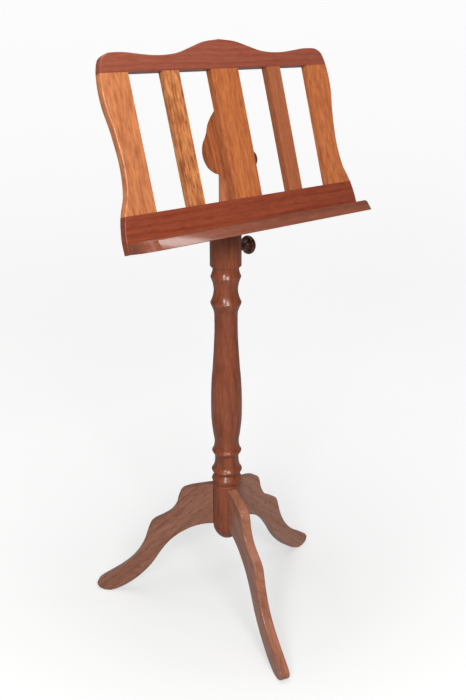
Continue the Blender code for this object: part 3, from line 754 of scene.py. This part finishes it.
# %% Desk, slats and ledge
dress(top_rail, wood("crest rail wood", ACROSS, FACE, linear(158, 85, 62), linear(128, 62, 45),
                     ribbon=0.35, pores=0.35, rings=0.25, seed=(0.35, 0.2, 0.0)))
dress(bottom_rail, wood("bottom rail wood", ACROSS, FACE, linear(150, 72, 45), linear(116, 46, 27),
                        ribbon=0.4, pores=0.4, rings=0.35, seed=(1.1, -0.1, 0.01)))
dress(ledge, wood("ledge wood", ACROSS, SLOPE, linear(140, 80, 58), linear(98, 50, 35),
                  ribbon=0.3, pores=0.5, rings=0.2, seed=(2.1, 0.3, 0.0), coat_rough=0.08))
boards = (
    (stiles["stile_left"], "left stile wood", (206, 131, 81), (164, 92, 57), 0.8, 0.45, 0.20),
    (stiles["stile_right"], "right stile wood", (200, 118, 68), (158, 84, 46), 0.8, 0.55, 0.20),
    (slats["slat_left"], "left slat wood", (218, 142, 84), (150, 82, 46), 0.9, 1.00, 0.30),
    (slats["slat_centre"], "middle slat wood", (191, 111, 62), (152, 77, 39), 0.7, 0.50, 0.15),
    (slats["slat_right"], "right slat wood", (176, 104, 66), (140, 74, 46), 0.4, 0.70, 0.15),
)
for count, (piece, name, light, dark, ribbon_amount, pore_amount, ring_amount) in enumerate(boards):
    dress(piece, wood(name, SLOPE, FACE, linear(*light), linear(*dark), ribbon_amount,
                      pore_amount, ring_amount, seed=(0.7 * count, 0.13 * count, 0.0)))

# %% Bracket, block and knobs
cheek_wood = wood("bracket wood", SLOPE, ACROSS, linear(216, 122, 67), linear(158, 80, 40),
                  ribbon=0.5, pores=0.5, rings=0.5, seed=(1.7, 0.4, 0.0))
for cheek in cheeks:
    dress(cheek, cheek_wood)
dress(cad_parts["tilt_block"], wood("block wood", UP, ACROSS, linear(150, 86, 58),
                                         linear(110, 56, 36), seed=(0.1, 0.6, 0.0)))
knob_wood = wood("knob wood", ACROSS, UP, linear(100, 50, 38), linear(58, 27, 21), ribbon=0.4,
                 pores=0.5, rings=0.3, seed=(0.3, 0.9, 0.0))
for knob in knobs:
    dress(knob, knob_wood)
dowel_wood = wood("dowel wood", UP, ACROSS, linear(226, 196, 150), linear(190, 152, 104),
                  pores=0.2, rings=0.2, coat=0.0)
for name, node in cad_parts.items():
    if "dowel" in name:
        dress(node, dowel_wood)
print(len(bpy.data.materials), "materials so far")

# %% [markdown]
# ## Brass and steel
# The screws, inserts and bolt are small turned metal. Fine rings left by the lathe
# and a few cloudy patches keep them from looking like mirrors.

# %% Metal
def metal(name, colour, roughness, tool_marks):
    made = bpy.data.materials.new(name)
    made.use_nodes = True
    tree = made.node_tree
    shader = tree.nodes["Principled BSDF"]
    where = add_node(tree, "ShaderNodeTexCoord", (-5, 0)).outputs["Object"]
    cloudy = vector_node(tree, (-5, 1), "MULTIPLY", where, (160, 160, 160))
    clouds = noise(tree, (-4, 0), cloudy, 3.0)
    ringed = vector_node(tree, (-5, 2), "MULTIPLY", where, tool_marks)
    marks = noise(tree, (-4, 1), ringed, 2.0)
    rough = math_node(tree, (-2, 1), "MULTIPLY_ADD", clouds.outputs["Fac"], 0.25,
                      roughness - 0.1)
    dull = [0.6 * c for c in colour[:3]] + [1.0]
    shade = blend_colours(tree, (-2, 0), clouds.outputs["Fac"], dull, colour)
    bump = add_node(tree, "ShaderNodeBump", (-1, 2), Height=marks.outputs["Fac"],
                    Strength=0.2, Distance=0.0001)
    tree.links.new(shade, shader.inputs["Base Color"])
    tree.links.new(rough, shader.inputs["Roughness"])
    tree.links.new(bump.outputs["Normal"], shader.inputs["Normal"])
    shader.inputs["Metallic"].default_value = 1.0
    return made


brass = metal("turned brass", linear(214, 178, 104), 0.32, (2600, 200, 200))
steel = metal("plated steel", linear(196, 198, 200), 0.28, (3000, 250, 250))
for name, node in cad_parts.items():
    if "insert" in name or "ledge_screw" in name or name == "clamp_pad":
        dress(node, brass)
    elif name in ("clamp_screw", "tilt_bolt", "tilt_washer"):
        dress(node, steel)

# %% [markdown]
# ## The studio
# The stand is shown in a white bowl: a round floor that turns up into a wall with
# no corner to see, so every side of the wood has something pale to mirror. Its
# plaster glows, a little more with distance, as a lit backdrop does. The camera
# sees the whole glow, and the wood gets only a part of it, so the shaded sides
# stay dark. Two soft boxes in front light the desk and the legs, a narrow strip
# on the right gives the turned rings their highlights, and a broad panel overhead
# gives the soft shadows on the floor.

# %% Floor and wall in one bowl
FLOOR = 2.4
WALL_BEND = 6.0
GLOW = 0.635
GLOW_RISE = 0.17                # how fast the glow grows with distance
GLOW_START = 0.2                # metres; nearer than this it stays even
GLOW_ON_WOOD = 0.12
bowl_line = [(FLOOR * k / 3, 0.0) for k in range(4)]
bowl_line += arc((FLOOR, WALL_BEND), WALL_BEND, -90, -5, 34)
bowl = turned("studio_bowl", bowl_line, steps=128)
pick(bowl)
bpy.ops.object.mode_set(mode="EDIT")
bpy.ops.mesh.select_all(action="SELECT")
bpy.ops.mesh.remove_doubles(threshold=10 * SAME_PLACE)
bpy.ops.mesh.normals_make_consistent(inside=True)
bpy.ops.object.mode_set(mode="OBJECT")
bpy.ops.object.shade_smooth()
plaster = bpy.data.materials.new("studio white")
plaster.use_nodes = True
tree = plaster.node_tree
shader = tree.nodes["Principled BSDF"]
where = add_node(tree, "ShaderNodeTexCoord", (-5, 0)).outputs["Object"]
mottle = noise(tree, (-3, 0), where, 2.0)
mottled = blend_colours(tree, (-2, 0), mottle.outputs["Fac"], (0.43, 0.435, 0.43, 1),
                        (0.46, 0.46, 0.455, 1))
away = math_node(tree, (-4, 3), "MAXIMUM", distance_node(tree, (-4, 2), where), GLOW_START)
glow = math_node(tree, (-3, 3), "POWER", away, GLOW_RISE)
glow = math_node(tree, (-3, 2), "MULTIPLY", glow, GLOW)
seen = add_node(tree, "ShaderNodeLightPath", (-3, 4)).outputs["Is Camera Ray"]
share = math_node(tree, (-2, 4), "MAXIMUM", seen, GLOW_ON_WOOD)
glow = math_node(tree, (-2, 2), "MULTIPLY", glow, share)
tree.links.new(mottled, shader.inputs["Base Color"])
tree.links.new(glow, shader.inputs["Emission Strength"])
shader.inputs["Emission Color"].default_value = (1.0, 1.0, 1.0, 1.0)
shader.inputs["Roughness"].default_value = 0.9
shader.inputs["Specular IOR Level"].default_value = 0.0
dress(bowl, plaster)
bowl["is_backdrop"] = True

# %% Lights
def soft_light(name, place, target, width, height, power):
    """A rectangle of light at a place, aimed at a target, that isn't seen itself."""
    deselect()
    bpy.ops.object.light_add(type="AREA", location=place)
    light = bpy.context.active_object
    light.name = name
    light.data.shape = "RECTANGLE"
    light.data.size = width
    light.data.size_y = height
    light.data.energy = power
    light.rotation_euler = (Vector(target) - Vector(place)).to_track_quat("-Z", "Y").to_euler()
    light.visible_camera = False


world = bpy.data.worlds.new("studio air")
bpy.context.scene.world = world
world.use_nodes = True
air = world.node_tree.nodes["Background"]
air.inputs["Color"].default_value = (1.0, 1.0, 1.0, 1.0)
air.inputs["Strength"].default_value = 0.12
soft_light("main softbox", (-0.95, -2.00, 1.85), (-0.05, 0, 0.70), 0.8, 0.6, 31)
soft_light("left softbox", (-1.95, -1.40, 1.55), (-0.1, 0, 0.60), 0.6, 0.6, 28)
soft_light("right strip", (0.82, -0.71, 1.96), (0, 0, 0.7), 0.09, 0.3, 1.3)
soft_light("ceiling panel", (-0.4, -0.2, 3.4), (0, 0, 0.4), 2.6, 2.6, 54)
bpy.context.scene.view_settings.view_transform = "Standard"
bpy.context.scene.view_settings.look = "None"

# %% [markdown]
# ## The camera
# The stand is seen from its left front, from about the height of the desk, with
# a lens a little longer than the eye's.

# %% Camera
camera_data = bpy.data.cameras.new("camera")
camera = bpy.data.objects.new("camera", camera_data)
bpy.context.scene.collection.objects.link(camera)
camera_data.sensor_width = 36
camera_data.lens = 44.785
heading = math.radians(41.0986)
pitch = math.radians(20.1373)
roll = math.radians(-0.158)
camera.location = (AXIS_X - 0.95203, AXIS_Y - 1.10991, 1.06187)
ahead = Vector((math.sin(heading) * math.cos(pitch), math.cos(heading) * math.cos(pitch),
                -math.sin(pitch)))
camera.rotation_euler = (ahead.to_track_quat("-Z", "Y").to_matrix()
                         @ Matrix.Rotation(roll, 3, "Z")).to_euler()
bpy.context.scene.camera = camera
print("camera at", tuple(round(v, 3) for v in camera.location))

# %% Write the sizes and finish
new_low, new_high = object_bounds()
growth = (new_high - new_low) - (cad_high - cad_low)
print("grown by", [round(one / MM, 2) for one in growth], "mm")
